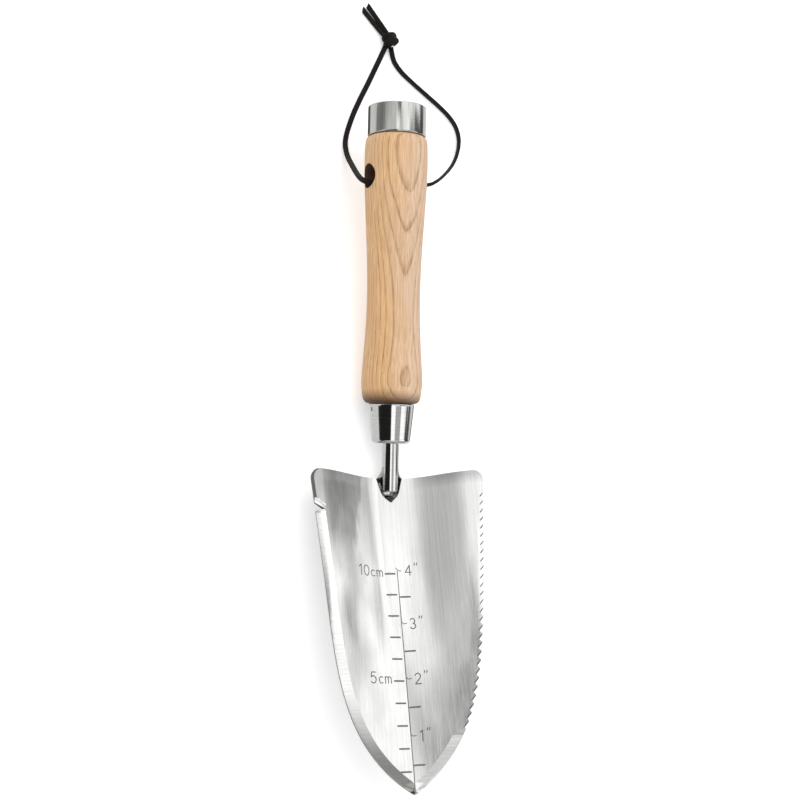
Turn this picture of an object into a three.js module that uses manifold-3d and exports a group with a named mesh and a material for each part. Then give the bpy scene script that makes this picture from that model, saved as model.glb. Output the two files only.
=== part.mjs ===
// Hand trowel: a pressed stainless blade on a rod neck, an ash handle with a steel ferrule and
// end cap, and a leather lanyard through the handle. Millimetres, +Z up.
//
// The trowel lies on its back, hollow side up, on the plane z = 0. It touches the plane with the
// heel of the blade and with the front swell of the handle. +Y points from the tip to the cap, X
// runs across the blade, and the origin is the bottom centre of the trowel's box.
//
// The rigid pieces are drawn in the handle's own frame, where the handle axis is Y, y = 0 is the
// joint between handle and ferrule, and +Z is the side that the blade's hollow opens to. One
// group then lays them on the plane. The lanyard lies on the plane and is drawn in place.

import * as THREE from "three";
import { mergeVertices } from "three/addons/utils/BufferGeometryUtils.js";
import Module from "manifold-3d";

const wasm = await Module();
wasm.setup();

const { cos, sin, hypot, abs, max, min, PI } = Math;
const DEG = PI / 180;
const GAP = 0.3;                 // between touching pieces
const ROUND = 48;                // sides of a turned piece

// How the trowel lies
const LAY_ANGLE = 9.05 * DEG;    // the cap end of the handle is raised by this angle
const LAY_Y = 17.4;              // where the handle frame's origin comes to lie
const LAY_Z = 13.42;

// Blade: a sheet pressed into a trough, with its keel straight from the heel to the tip
const BLADE_LENGTH = 147;
const BLADE_TILT = 20.6 * DEG;   // the keel rises from the handle's axis by this angle
const BLADE_SHEET = 2;
const HEEL_Y = -36.2;            // inside of the keel at the back edge
const HEEL_Z = -0.2;
const HALF_WIDTH = 42.5;         // at the back edge
const SIDE_TAPER = 0.085;        // loss of half width per mm towards the tip
const TIP_SHARPNESS = 7;
const TIP_FULLNESS = 0.935;
const TROUGH_DEPTH = 15;         // from the keel up to the edges, at the back edge
const KEEL_FLAT = 4;             // half width of the flat along the keel
const CREASE_START = 45;         // the round trough turns into a V from here
const CREASE_END = 108;
const CORNER_RADIUS = 5;
const BEVEL_WIDTH = 4.6;
const EDGE_THICKNESS = 0.5;      // of the ground edges
const LEFT_BEVEL_START = 19;
const RIGHT_BEVEL_START = 119.5;

// Pocket pressed into the heel, which the end of the neck sits in
const POCKET_DEPTH = 4.7;        // below the handle's axis
const POCKET_HALF_WIDTH = 6.9;   // at the back edge
const POCKET_TAPER = 0.28;       // loss of half width per mm along the keel
const POCKET_FLOOR_END = 5.6;    // along the keel
const POCKET_NARROWS = 6.6;      // its round front end starts here
const POCKET_END = 12.4;

// Serrated right edge, and the twine notch in the left edge
const TOOTH_COUNT = 28;
const TOOTH_PITCH = 3.95;
const TOOTH_DEPTH = 1.4;
const FIRST_TOOTH = 13.5;        // along the keel
const NOTCH_TOP = 16.5;
const NOTCH_APEX = 19.6;
const NOTCH_END = 20.6;
const NOTCH_DEPTH = 4.3;

// Neck
const ROD_RADIUS = 4;
const ROD_FRONT = -42.6;
const ROD_BACK = 60;
const ROD_CHAMFER = 0.8;
const WELD_RADIUS = 6.9;
const WELD_LENGTH = 5.2;
const WELD_START = 1.1;          // clear of the pocket's rim
const WELD_TOP = 1.6;            // the weld stops here, above the rod's axis

// Ferrule
const FERRULE_LENGTH = 19.3;
const FERRULE_BACK_RADIUS = 11;
const FERRULE_FRONT_RADIUS = 9.4;
const FERRULE_WALL = 1.2;
const FERRULE_CORNER = 2;
const PIN_RADIUS = 0.8;
const PIN_LENGTH = 5.5;
const PIN_Y = -2.9;
const PIN_TURN = 75 * DEG;       // from the top of the handle towards the left

// Handle
const HANDLE_LENGTH = 129.2;
const TENON_RADIUS = 12.9;       // under the end cap
const TENON_LENGTH = 13;
const HOLE_Y = 109.1;
const HOLE_RADIUS = 5.8;
const HOLE_MOUTH_RADIUS = 6.3;
const HOLE_TURN = 11 * DEG;      // the handle sits turned by this much on its tang

// End cap
const CAP_RADIUS = 14.15;
const CAP_LENGTH = 14.5;
const CAP_WALL = 0.95;
const CAP_EDGE = 0.7;

// Lanyard: a leather thong, with its ends tied together in an overhand knot
const THONG_RADIUS = 1.15;
const THONG_SIDES = 8;
const LYING_Z = 1.25;            // of a thong that lies on the plane
const LOOP_ROUTE = [
  [5.2, 208.8, 2.4],
  [2.6, 202.8, LYING_Z],
  [-1.0, 195.0, LYING_Z],
  [-5.0, 186.4, LYING_Z],
  [-9.2, 177.8, LYING_Z],
  [-13.2, 168.6, LYING_Z],
  [-16.2, 159.8, LYING_Z],
  [-17.5, 153.6, 1.9],
  [-17.9, 147.6, 4.7],
  [-17.9, 142.2, 9.0],
  [-17.8, 137.0, 14.6],
  [-17.7, 131.6, 20.6],
  [-17.5, 127.2, 25.8],
  [-16.9, 124.2, 29.4],
  [-15.1, 122.4, 31.5],
  [-12.0, 121.6, 32.1],
  [-6.0, 121.8, 31.0],
  [6.0, 122.9, 28.9],
  [12.0, 123.8, 28.1],
  [15.6, 124.3, 27.7],
  [19.2, 125.4, 26.8],
  [22.9, 128.0, 24.4],
  [26.6, 131.4, 20.6],
  [30.4, 135.4, 16.2],
  [34.2, 139.8, 11.6],
  [37.8, 144.6, 7.4],
  [40.9, 150.0, 4.0],
  [43.0, 155.8, 2.0],
  [43.6, 161.4, LYING_Z],
  [42.2, 167.2, LYING_Z],
  [38.6, 172.8, LYING_Z],
  [33.0, 178.2, LYING_Z],
  [26.2, 183.8, LYING_Z],
  [19.4, 189.4, LYING_Z],
  [13.6, 194.6, LYING_Z],
  [9.6, 200.2, LYING_Z],
  [7.5, 207.4, 2.4],
];
const TAIL_ROUTES = [
  [[6.4, 213.8, 2.6], [4.7, 217.4, 1.5], [0.1, 224.2, LYING_Z], [-4.6, 230.9, LYING_Z]],
  [[4.8, 213.2, 2.6], [2.7, 216.2, 1.5], [-1.9, 222.6, LYING_Z], [-6.3, 228.6, LYING_Z]],
];
const KNOT_CENTRE = [6.9, 211.8, 3.4];
const KNOT_RADII = [4.8, 4.6, 3.3];

const STEEL = { color: 0xc9c9c6, metalness: 1 };
const ASH = { color: 0xdeb88c, roughness: 0.55, metalness: 0 };
const LEATHER = { color: 0x1e1614, roughness: 0.7, metalness: 0 };

const trowel = new THREE.Group();
const part = new THREE.Group();

function addPart(group, name, geometry, look) {
  const mesh = new THREE.Mesh(geometry, new THREE.MeshStandardMaterial(look));
  mesh.name = name;
  group.add(mesh);
}

function toSolid(geometry) {
  const bare = geometry.clone();
  bare.deleteAttribute("normal");
  bare.deleteAttribute("uv");
  const merged = mergeVertices(bare, 1e-4);
  const vertProperties = new Float32Array(merged.attributes.position.array);
  const triVerts = new Uint32Array(merged.index.array);
  return new wasm.Manifold(new wasm.Mesh({ numProp: 3, vertProperties, triVerts }));
}

function toGeometry(solid) {
  const mesh = solid.getMesh();
  const geometry = new THREE.BufferGeometry();
  geometry.setAttribute("position", new THREE.BufferAttribute(mesh.vertProperties, 3));
  geometry.setIndex(new THREE.BufferAttribute(mesh.triVerts, 1));
  return geometry;
}

function smoothstep(low, high, value) {
  const t = min(max((value - low) / (high - low), 0), 1);
  return t * t * (3 - 2 * t);
}

// A turned piece about Y. Each point of its profile is [radius, y].
function turned(profile) {
  return new THREE.LatheGeometry(profile.map(([r, y]) => new THREE.Vector2(r, y)), ROUND);
}

// Points of a quarter circle round (r, y), from one direction to another.
function corner(r, y, radius, fromDeg, toDeg, steps = 4) {
  return Array.from({ length: steps + 1 }, (_, i) => {
    const angle = (fromDeg + ((toDeg - fromDeg) * i) / steps) * DEG;
    return [r + radius * cos(angle), y + radius * sin(angle)];
  });
}

// ---- Blade ----
// s is the distance from the back edge along the keel, x the distance from the keel across the
// blade, and h the height square to the keel.

function halfWidth(s) {
  const plan = (HALF_WIDTH - SIDE_TAPER * s)
    * (1 - (min(s, BLADE_LENGTH) / BLADE_LENGTH) ** TIP_SHARPNESS) ** TIP_FULLNESS;
  const inCorner = max(CORNER_RADIUS - s, 0);
  return plan - CORNER_RADIUS + Math.sqrt(CORNER_RADIUS ** 2 - inCorner ** 2);
}

function troughHeight(x, s) {
  const width = halfWidth(max(s, CORNER_RADIUS));
  const depth = TROUGH_DEPTH * (1 - (s / BLADE_LENGTH) ** 2);
  const bowl = smoothstep(KEEL_FLAT, width, abs(x));
  const vee = min(abs(x) / width, 1);
  const crease = smoothstep(CREASE_START, CREASE_END, s);
  return depth * (bowl + (vee - bowl) * crease);
}

// The pocket's floor stays level with the handle's axis while the keel rises away from it. Its
// section is a U with a rounded rim.
function pocketHeight(x, s) {
  const keelRise = HEEL_Z + s * sin(BLADE_TILT);
  const depth = (keelRise + POCKET_DEPTH) / cos(BLADE_TILT);
  const narrowing = POCKET_TAPER * s + 0.11 * max(s - POCKET_NARROWS, 0) ** 2;
  const width = max(POCKET_HALF_WIDTH - narrowing, 0.5);
  const bowl = 1 - min(abs(x) / width, 1) ** 3.5;
  const across = (1.15 * bowl ** 2) / (bowl + 0.15);
  const along = 1 - smoothstep(POCKET_FLOOR_END, POCKET_END, s);
  return -depth * across * along;
}

function bladePoint(x, s, h) {
  return new THREE.Vector3(
    x,
    HEEL_Y - s * cos(BLADE_TILT) + h * sin(BLADE_TILT),
    HEEL_Z + s * sin(BLADE_TILT) + h * cos(BLADE_TILT),
  );
}

function surfacePoint(x, s) {
  return bladePoint(x, s, troughHeight(x, s) + pocketHeight(x, s));
}

function surfaceNormal(x, s) {
  const step = 0.2;
  const across = surfacePoint(x + step, s).sub(surfacePoint(x - step, s));
  const along = surfacePoint(x, s - step).sub(surfacePoint(x, s + step));
  return across.cross(along).normalize();
}

// Width across the blade of the ground strip, which is BEVEL_WIDTH wide square to the edge.
function bevelSpan(s) {
  const slope = (halfWidth(min(s + 0.5, BLADE_LENGTH)) - halfWidth(s - 0.5));
  return min(BEVEL_WIDTH * hypot(1, slope), 0.95 * halfWidth(s));
}

function bladeRows() {
  const rows = [0, 0.4, 1.2, 2.4, 3.6, 5, 6.5, 8, 9.5, 11, 12.5, 15, 18.9, 19.1];
  for (let s = 25; s < 114; s += 8) rows.push(s);
  rows.push(119.4, 119.6, 124, 129, 133, 136, 138.5, 141, 143, 144.5, 145.8, 146.7);
  return rows;
}

// The sheet, as a grid of stations along the keel and points across, on its two faces.
function bladeSheet() {
  const half = [0, 0.03, 0.06, 0.08, 0.095, 0.11, 0.125, 0.14, 0.16, 0.185, 0.25, 0.33, 0.42, 0.52,
    0.63, 0.75, 0.88, 1];
  const fractions = [...half.slice(1).reverse().map((f) => -f), ...half];
  const rows = bladeRows();
  const top = [];
  const bottom = [];
  for (const s of rows) {
    const inner = halfWidth(s) - bevelSpan(max(s, 1));
    const places = [-halfWidth(s), ...fractions.map((f) => f * inner), halfWidth(s)];
    for (const x of places) {
      const ground = x < -inner ? s > LEFT_BEVEL_START : x > inner && s > RIGHT_BEVEL_START;
      const normal = surfaceNormal(x, s);
      const surface = surfacePoint(x, s);
      bottom.push(surface.clone().addScaledVector(normal, -BLADE_SHEET));
      top.push(surface.addScaledVector(normal, ground ? EDGE_THICKNESS - BLADE_SHEET : 0));
    }
  }
  return stitchedSheet(top, bottom, rows.length, fractions.length + 2);
}

function stitchedSheet(top, bottom, rowCount, columnCount) {
  const index = [];
  const under = top.length;
  const quad = (a, b, c, d) => index.push(a, b, c, a, c, d);
  const at = (row, column) => row * columnCount + column;
  for (let row = 0; row < rowCount - 1; row += 1) {
    for (let column = 0; column < columnCount - 1; column += 1) {
      const [a, b] = [at(row, column), at(row, column + 1)];
      const [c, d] = [at(row + 1, column + 1), at(row + 1, column)];
      quad(d, c, b, a);
      quad(under + a, under + b, under + c, under + d);
    }
    quad(at(row, 0), under + at(row, 0), under + at(row + 1, 0), at(row + 1, 0));
    const last = columnCount - 1;
    quad(at(row + 1, last), under + at(row + 1, last), under + at(row, last), at(row, last));
  }
  for (let column = 0; column < columnCount - 1; column += 1) {
    const tip = rowCount - 1;
    quad(at(0, column + 1), under + at(0, column + 1), under + at(0, column), at(0, column));
    quad(at(tip, column), under + at(tip, column), under + at(tip, column + 1), at(tip, column + 1));
  }
  const geometry = new THREE.BufferGeometry();
  geometry.setFromPoints([...top, ...bottom]);
  geometry.setIndex(index);
  return geometry;
}

// A prism through the sheet, square to the keel. Its outline is a list of [x, s].
function bladeCutter(outline) {
  const shape = new THREE.Shape(outline.map(([x, s]) => new THREE.Vector2(x, -s)));
  const prism = new THREE.ExtrudeGeometry(shape, { depth: 60, bevelEnabled: false });
  prism.translate(0, 0, -25);
  prism.rotateX(-BLADE_TILT);
  prism.translate(0, HEEL_Y, HEEL_Z);
  return toSolid(prism);
}

function makeBlade() {
  let blade = toSolid(bladeSheet());
  let s = FIRST_TOOTH;
  for (let tooth = 0; tooth < TOOTH_COUNT; tooth += 1) {
    const slope = halfWidth(s + 0.5) - halfWidth(s - 0.5);
    const along = 1 / hypot(1, slope);
    const reach = 0.47 * TOOTH_PITCH * along;
    const edge = halfWidth(s);
    const root = [edge - TOOTH_DEPTH * along, s - TOOTH_DEPTH * slope * along];
    const out = [edge + 3 * along, s + 3 * slope * along];
    blade = blade.subtract(bladeCutter([
      root,
      [halfWidth(s + reach), s + reach],
      out,
      [halfWidth(s - reach), s - reach],
    ]));
    s += TOOTH_PITCH * along;
  }
  const notchEdge = -halfWidth(NOTCH_APEX);
  blade = blade.subtract(bladeCutter([
    [notchEdge + NOTCH_DEPTH, NOTCH_APEX],
    [notchEdge - 2, NOTCH_TOP - 1],
    [notchEdge - 2, NOTCH_END + 0.3],
  ]));
  addPart(trowel, "blade", toGeometry(blade), { ...STEEL, roughness: 0.32 });
}

// ---- Neck ----

function makeNeck() {
  addPart(trowel, "neck_rod", turned([
    [0, ROD_FRONT],
    [ROD_RADIUS - ROD_CHAMFER, ROD_FRONT],
    [ROD_RADIUS, ROD_FRONT + ROD_CHAMFER],
    [ROD_RADIUS, ROD_BACK - ROD_CHAMFER],
    [ROD_RADIUS - ROD_CHAMFER, ROD_BACK],
    [0, ROD_BACK],
  ]), { ...STEEL, roughness: 0.12 });

  // The weld is a fillet between the rod and the heel's back face, round the rod's underside.
  const cone = turned([
    [0, WELD_START],
    [WELD_RADIUS, WELD_START],
    [ROD_RADIUS + 0.9, 0.45 * WELD_LENGTH],
    [ROD_RADIUS + 0.45, WELD_LENGTH],
    [0, WELD_LENGTH],
  ]);
  cone.rotateX(-BLADE_TILT);
  cone.translate(0, HEEL_Y, HEEL_Z);
  const rodSpace = new THREE.CylinderGeometry(ROD_RADIUS + GAP, ROD_RADIUS + GAP, 40, ROUND);
  rodSpace.translate(0, HEEL_Y, 0);
  const above = new THREE.BoxGeometry(40, 40, 20);
  above.translate(0, HEEL_Y, WELD_TOP + 10);
  const weld = toSolid(cone).subtract(toSolid(rodSpace)).subtract(toSolid(above));
  addPart(trowel, "neck_weld", toGeometry(weld), { ...STEEL, roughness: 0.4 });
}

// ---- Ferrule ----

function ferruleInside(y) {
  const share = -y / FERRULE_LENGTH;
  const outside = FERRULE_BACK_RADIUS + (FERRULE_FRONT_RADIUS - FERRULE_BACK_RADIUS) * share;
  return outside - FERRULE_WALL;
}

// The pin's axis is radial, towards the left and up.
function placePin(geometry, y) {
  geometry.rotateX(PI / 2);
  geometry.rotateY(-PIN_TURN);
  geometry.translate(0, y, 0);
  return geometry;
}

function pinRod(radius, length, outerEnd) {
  const rod = new THREE.CylinderGeometry(radius, radius, length, 16);
  rod.translate(0, outerEnd - length / 2, 0);
  return placePin(rod, PIN_Y);
}

function makeFerrule() {
  const holeRadius = ROD_RADIUS + GAP + 0.05;
  const cup = turned([
    [ferruleInside(-GAP), -GAP],
    [FERRULE_BACK_RADIUS, -GAP],
    [FERRULE_BACK_RADIUS, -GAP - 0.4],
    ...corner(FERRULE_FRONT_RADIUS - FERRULE_CORNER, -FERRULE_LENGTH + FERRULE_CORNER,
      FERRULE_CORNER, 0, -90),
    [holeRadius, -FERRULE_LENGTH],
    [holeRadius, -FERRULE_LENGTH + FERRULE_WALL],
    [ferruleInside(-FERRULE_LENGTH) - 1, -FERRULE_LENGTH + FERRULE_WALL],
    [ferruleInside(-FERRULE_LENGTH + 3), -FERRULE_LENGTH + 3],
    [ferruleInside(-GAP), -GAP],
  ].reverse());
  const pinEnd = FERRULE_BACK_RADIUS + 0.05;
  const drilled = toSolid(cup).subtract(toSolid(pinRod(PIN_RADIUS + GAP, 5, pinEnd + 1)));
  addPart(trowel, "ferrule", toGeometry(drilled), { ...STEEL, roughness: 0.12 });
  addPart(trowel, "ferrule_pin", pinRod(PIN_RADIUS, PIN_LENGTH, pinEnd - 0.25), {
    ...STEEL,
    roughness: 0.45,
  });
}

// ---- Handle ----

// Outline of the grip between its two rounded ends: waist in the middle, a swell at each end.
const GRIP = new THREE.SplineCurve([
  [14.35, 5],
  [14.75, 11],
  [14.1, 22],
  [13.2, 37],
  [12.85, 53],
  [13.35, 72],
  [14.35, 91],
  [15.2, 108],
  [15.35, 120],
  [15.1, 126],
].map(([r, y]) => new THREE.Vector2(r, y)));

function lanyardBore() {
  const reach = 22;
  const flareStart = 14.4;
  const mouthAt = 15.2;
  const flared = HOLE_MOUTH_RADIUS + (reach - mouthAt) * 0.9;
  const bore = turned([
    [0, -reach],
    [flared, -reach],
    [HOLE_MOUTH_RADIUS, -mouthAt],
    [HOLE_RADIUS, -flareStart],
    [HOLE_RADIUS, flareStart],
    [HOLE_MOUTH_RADIUS, mouthAt],
    [flared, reach],
    [0, reach],
  ]);
  bore.rotateZ(-PI / 2);
  bore.rotateY(HOLE_TURN);
  bore.translate(0, HOLE_Y, 0);
  return toSolid(bore);
}

function makeHandle() {
  const boreRadius = ROD_RADIUS + GAP;
  const spigotEnd = -FERRULE_LENGTH + FERRULE_WALL + GAP;
  const wood = turned([
    [boreRadius, spigotEnd],
    [ferruleInside(-FERRULE_LENGTH) - 1 - GAP, spigotEnd],
    [ferruleInside(-FERRULE_LENGTH + 3.4) - GAP, spigotEnd + 2.4],
    [ferruleInside(0) - GAP, 0],
    [11.5, 0],
    [12.7, 0.7],
    [13.7, 2.4],
    ...GRIP.getPoints(24).map((point) => [point.x, point.y]),
    ...corner(12.2, HANDLE_LENGTH - 2.2, 2.2, 25, 90, 3).map(([r, y]) => [r + 0.6, y]),
    [TENON_RADIUS, HANDLE_LENGTH],
    [TENON_RADIUS, HANDLE_LENGTH + TENON_LENGTH],
    [0, HANDLE_LENGTH + TENON_LENGTH],
    [0, ROD_BACK + 1],
    [boreRadius, ROD_BACK + 1],
    [boreRadius, spigotEnd],
  ]);
  const pinSpace = toSolid(pinRod(PIN_RADIUS + GAP, PIN_LENGTH + 1, FERRULE_BACK_RADIUS + 0.1));
  const handle = toSolid(wood).subtract(lanyardBore()).subtract(pinSpace);
  addPart(trowel, "handle", toGeometry(handle), ASH);
}

function makeEndCap() {
  const front = HANDLE_LENGTH + GAP;
  const back = front + CAP_LENGTH;
  const inside = CAP_RADIUS - CAP_WALL;
  addPart(trowel, "end_cap", turned([
    [inside, front],
    [CAP_RADIUS, front],
    ...corner(CAP_RADIUS - CAP_EDGE, back - CAP_EDGE, CAP_EDGE, 0, 90),
    [0, back],
    [0, back - CAP_WALL],
    [inside, back - CAP_WALL],
    [inside, front],
  ]), { ...STEEL, roughness: 0.3 });
}

// ---- Lanyard ----

function thong(route, steps) {
  const path = new THREE.CatmullRomCurve3(route.map((point) => new THREE.Vector3(...point)));
  const section = new THREE.Shape(Array.from({ length: THONG_SIDES }, (_, i) => {
    const angle = (2 * PI * i) / THONG_SIDES;
    return new THREE.Vector2(THONG_RADIUS * cos(angle), THONG_RADIUS * sin(angle));
  }));
  return toSolid(new THREE.ExtrudeGeometry(section, { steps, extrudePath: path }));
}

function makeLanyard() {
  const knot = new THREE.SphereGeometry(1, 20, 12);
  knot.scale(...KNOT_RADII);
  knot.translate(...KNOT_CENTRE);
  let lanyard = toSolid(knot).add(thong(LOOP_ROUTE, 72));
  for (const route of TAIL_ROUTES) lanyard = lanyard.add(thong(route, 6));
  addPart(part, "lanyard_cord", toGeometry(lanyard), LEATHER);
}

makeBlade();
makeNeck();
makeFerrule();
makeHandle();
makeEndCap();
makeLanyard();
trowel.rotation.x = LAY_ANGLE;
trowel.position.set(0, LAY_Y, LAY_Z);
part.add(trowel);

export default part;
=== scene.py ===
# Looks of a hand trowel: a pressed and brushed stainless blade on a rod neck, a turned ash handle
# with a polished ferrule and a satin end cap, and a leather thong knotted through the handle.
#
# The rigid pieces are drawn in the handle's own frame: the handle axis is Y, y = 0 is the joint
# between handle and ferrule, and +Z is the side that the blade's hollow opens to. LAID then puts
# them where they lie. The thong is drawn where it lies. Sizes are in millimetres until a mesh is
# made, which is in metres.

import math

import bmesh
import bpy
import numpy as np
from mathutils import Matrix, Vector
from mathutils.geometry import delaunay_2d_cdt


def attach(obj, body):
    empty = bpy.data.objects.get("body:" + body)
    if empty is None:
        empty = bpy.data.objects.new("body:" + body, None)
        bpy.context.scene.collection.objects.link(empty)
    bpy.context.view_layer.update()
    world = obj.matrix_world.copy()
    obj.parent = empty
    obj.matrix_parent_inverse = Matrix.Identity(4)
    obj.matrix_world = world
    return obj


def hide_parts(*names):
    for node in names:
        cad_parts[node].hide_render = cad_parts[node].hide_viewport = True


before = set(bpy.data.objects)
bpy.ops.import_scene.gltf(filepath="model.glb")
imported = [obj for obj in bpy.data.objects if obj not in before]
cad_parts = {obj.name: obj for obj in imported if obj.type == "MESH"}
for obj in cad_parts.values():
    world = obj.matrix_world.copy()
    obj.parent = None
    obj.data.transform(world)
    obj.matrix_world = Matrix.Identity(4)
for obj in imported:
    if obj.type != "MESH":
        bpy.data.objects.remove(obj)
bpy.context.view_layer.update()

MM = 0.001
ROOT = "root"
DEG = math.pi / 180

# How the trowel lies
LAY_ANGLE = 9.05 * DEG
LAY_Y = 17.4
LAY_Z = 13.42                    # height of the handle's axis at its front end
LAID = Matrix.Translation((0, LAY_Y * MM, LAY_Z * MM)) @ Matrix.Rotation(LAY_ANGLE, 4, "X")

# Blade
BLADE_LENGTH = 147
BLADE_TILT = 20.6 * DEG
BLADE_SHEET = 2
HEEL_Y = -36.2
HEEL_Z = -0.2
BLADE_LAID = (LAID @ Matrix.Translation((0, HEEL_Y * MM, HEEL_Z * MM))
              @ Matrix.Rotation(-BLADE_TILT, 4, "X"))
HALF_WIDTH = 42.5
SIDE_TAPER = 0.085
TIP_SHARPNESS = 7
TIP_FULLNESS = 0.935
TROUGH_DEPTH = 15
KEEL_FLAT = 4
CREASE_START = 45
CREASE_END = 108
CORNER_RADIUS = 5
BEVEL_WIDTH = 4.6
EDGE_THICKNESS = 0.9
GROUND_DEPTH = BLADE_SHEET - EDGE_THICKNESS
LEFT_BEVEL_START = 17
RIGHT_BEVEL_START = 118.5
BEVEL_RUN_OUT = 4.5              # length over which the ground strip comes to its full width
POCKET_DEPTH = 4.7
POCKET_HALF_WIDTH = 6.9
POCKET_RIGHT_HALF_WIDTH = 6
POCKET_TAPER = 0.28
POCKET_FLOOR_END = 5.6
POCKET_NARROWS = 6.6
POCKET_END = 12.4
POCKET_CURL = 0.11               # how fast its rim closes in front
POCKET_BELLY = 3.5
POCKET_EASE = 0.15
POCKET_THINNING = 0.2            # of the sheet, where pressing stretched it most
TOOTH_COUNT = 28
TOOTH_PITCH = 3.95
TOOTH_DEPTH = 1.4
TOOTH_REACH = 0.47               # of the pitch, from a root to each end of its cut
TOOTH_GROUND = 1.2               # depth that grinding takes off the sheet at each root
TOOTH_FACET = 0.6                # width of the facet that this leaves on each upper flank
FIRST_TOOTH = 13.5
NOTCH_TOP = 15.5
NOTCH_APEX = 19.6
NOTCH_END = 20.9
NOTCH_DEPTH = 4.3
NOTCH_CHAMFER = 1.9
NOTCH_CHAMFER_DEPTH = 0.8        # share of the depth that the strips are ground to
CORNER_BAND = 1.2                # width of the left edge's dark face above the notch

# Depth scale engraved in the blade
SCALE_TOP = 45.6                 # along the keel
SCALE_BOTTOM = 145.8
KEEL_LINE_WIDTH = 0.38
TICK_WIDTH = 0.8
FIGURE_LINE_WIDTH = 0.5
LINE_DEPTH = 0.24
TICK_GAP = 1.3                   # from a centimetre's tick to the keel line
CM_TICK = 4.7
INCH = 25.4
HALF_INCH_TICK = 4.5
INCH_TICK = 1.5
CM_FIGURE = 4.9                  # heights of the figures
INCH_FIGURE = 4.8

# Neck, ferrule, pin and weld
ROD_RADIUS = 4
ROD_FRONT = -42.6
ROD_BACK = 60
WELD_SWELL = 2.6                 # how far the weld's fillet stands off the rod at the heel
WELD_LENGTH = 5.6
WELD_START = 0.12
FERRULE_LENGTH = 19.3
FERRULE_BACK_RADIUS = 11
FERRULE_FRONT_RADIUS = 9.4
FERRULE_WALL = 1.2
FERRULE_CORNER = 2
PIN_RADIUS = 0.8
PIN_LENGTH = 5.5
PIN_Y = -2.9
PIN_SINK = 0.45                  # of its head below the ferrule's widest radius
PIN_TURN = 75 * DEG

# Handle and end cap
HANDLE_LENGTH = 129.2
NOSE = [(11.5, 0.05), (12.6, 0.5), (13.45, 1.5), (14.0, 3.0)]     # (radius, y)
GRIP = [
    (14.35, 5), (14.75, 11), (14.1, 22), (13.2, 37), (12.85, 53),
    (13.35, 72), (14.35, 91), (15.2, 108), (15.35, 120), (15.1, 126),
]
TENON_RADIUS = 12.9
TENON_LENGTH = 13
HOLE_Y = 109.1
HOLE_RADIUS = 5.8
HOLE_LIP = 0.5                   # width of the chamfer round the hole's mouths
HOLE_TURN = 11 * DEG
CAP_RADIUS = 14.15
CAP_LENGTH = 14.5
CAP_WALL = 0.95
CAP_EDGE = 0.55
SEAM = 0.3

# Thong: its route is the CAD cord's, from the middle of the handle's cross hole to the knot
THONG_WIDTH = 2.6
THONG_THICKNESS = 1.5
THONG_CORNER = 0.4
KNOT_BAND = (1.5, 0.85)          # half width and half thickness of the knot's turns
LYING_Z = 1.25                   # height of the route where the thong lies on the floor
FLOOR_GAP = 0.05                 # below the lying thong
ROUTE_STEPS = 6
LEFT_ROUTE = [
    (0.0, 122.4, 30.0), (-6.0, 121.8, 31.0), (-12.0, 121.6, 32.1), (-15.1, 122.4, 31.5),
    (-16.9, 124.2, 29.4), (-17.5, 127.2, 25.8), (-17.7, 131.6, 20.6), (-17.8, 137.0, 14.6),
    (-17.9, 142.2, 9.0), (-17.9, 147.6, 4.7), (-17.5, 153.6, 1.9), (-16.2, 159.8, LYING_Z),
    (-13.2, 168.6, LYING_Z), (-9.2, 177.8, LYING_Z), (-5.0, 186.4, LYING_Z),
    (-1.0, 195.0, LYING_Z), (2.6, 202.8, LYING_Z), (5.2, 208.8, 2.4),
]
RIGHT_ROUTE = [
    (0.0, 122.4, 30.0), (6.0, 122.9, 28.9), (12.0, 123.8, 28.1), (15.6, 124.3, 27.7),
    (19.2, 125.4, 26.8), (22.9, 128.0, 24.4), (26.6, 131.4, 20.6), (30.4, 135.4, 16.2),
    (34.2, 139.8, 11.6), (37.8, 144.6, 7.4), (40.9, 150.0, 4.0), (43.0, 155.8, 2.0),
    (43.6, 161.4, LYING_Z), (42.2, 167.2, LYING_Z), (38.6, 172.8, LYING_Z),
    (33.0, 178.2, LYING_Z), (26.2, 183.8, LYING_Z), (19.4, 189.4, LYING_Z),
    (13.6, 194.6, LYING_Z), (9.6, 200.2, LYING_Z), (7.5, 207.4, 2.4),
]
TAIL_ROUTES = [
    [(6.4, 213.8, 2.6), (4.7, 217.4, 1.5), (0.1, 224.2, LYING_Z), (-4.1, 230.2, LYING_Z)],
    [(4.8, 213.2, 2.6), (2.7, 216.2, 1.5), (-2.3, 222.4, LYING_Z), (-6.6, 227.8, LYING_Z)],
]
KNOT_CENTRE = (6.9, 211.8, 3.4)

# The photographer's camera
CAMERA_PLACE = Vector((-0.17317, -0.09288, 0.60270))
CAMERA_AIM = Vector((0.28390, 0.17936, -0.94193))
CAMERA_UP = Vector((-0.02755, 0.98347, 0.17897))
CAMERA_LENS = 58.11


# ---- Meshes ----

def smoothstep(low, high, value):
    t = np.clip((value - low) / (high - low), 0, 1)
    return t * t * (3 - 2 * t)


def arc(x, y, rx, ry, start, end, steps):
    """Points of an elliptical arc round (x, y), from one direction to another, in degrees."""
    angles = np.radians(np.linspace(start, end, steps + 1))
    return [(x + rx * math.cos(a), y + ry * math.sin(a)) for a in angles]


def spline(points, steps):
    """A smooth curve through points, with steps points from each one to the next."""
    p = np.array(points, float)
    p = np.vstack([2 * p[0] - p[1], p, 2 * p[-1] - p[-2]])
    t = np.linspace(0, 1, steps, endpoint=False)[:, None]
    spans = []
    for a, b, c, d in zip(p, p[1:], p[2:], p[3:]):
        spans.append(0.5 * (2 * b + (c - a) * t + (2 * a - 5 * b + 4 * c - d) * t**2
                            + (3 * b - a - 3 * c + d) * t**3))
    return np.vstack([*spans, p[-2:-1]])


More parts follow.
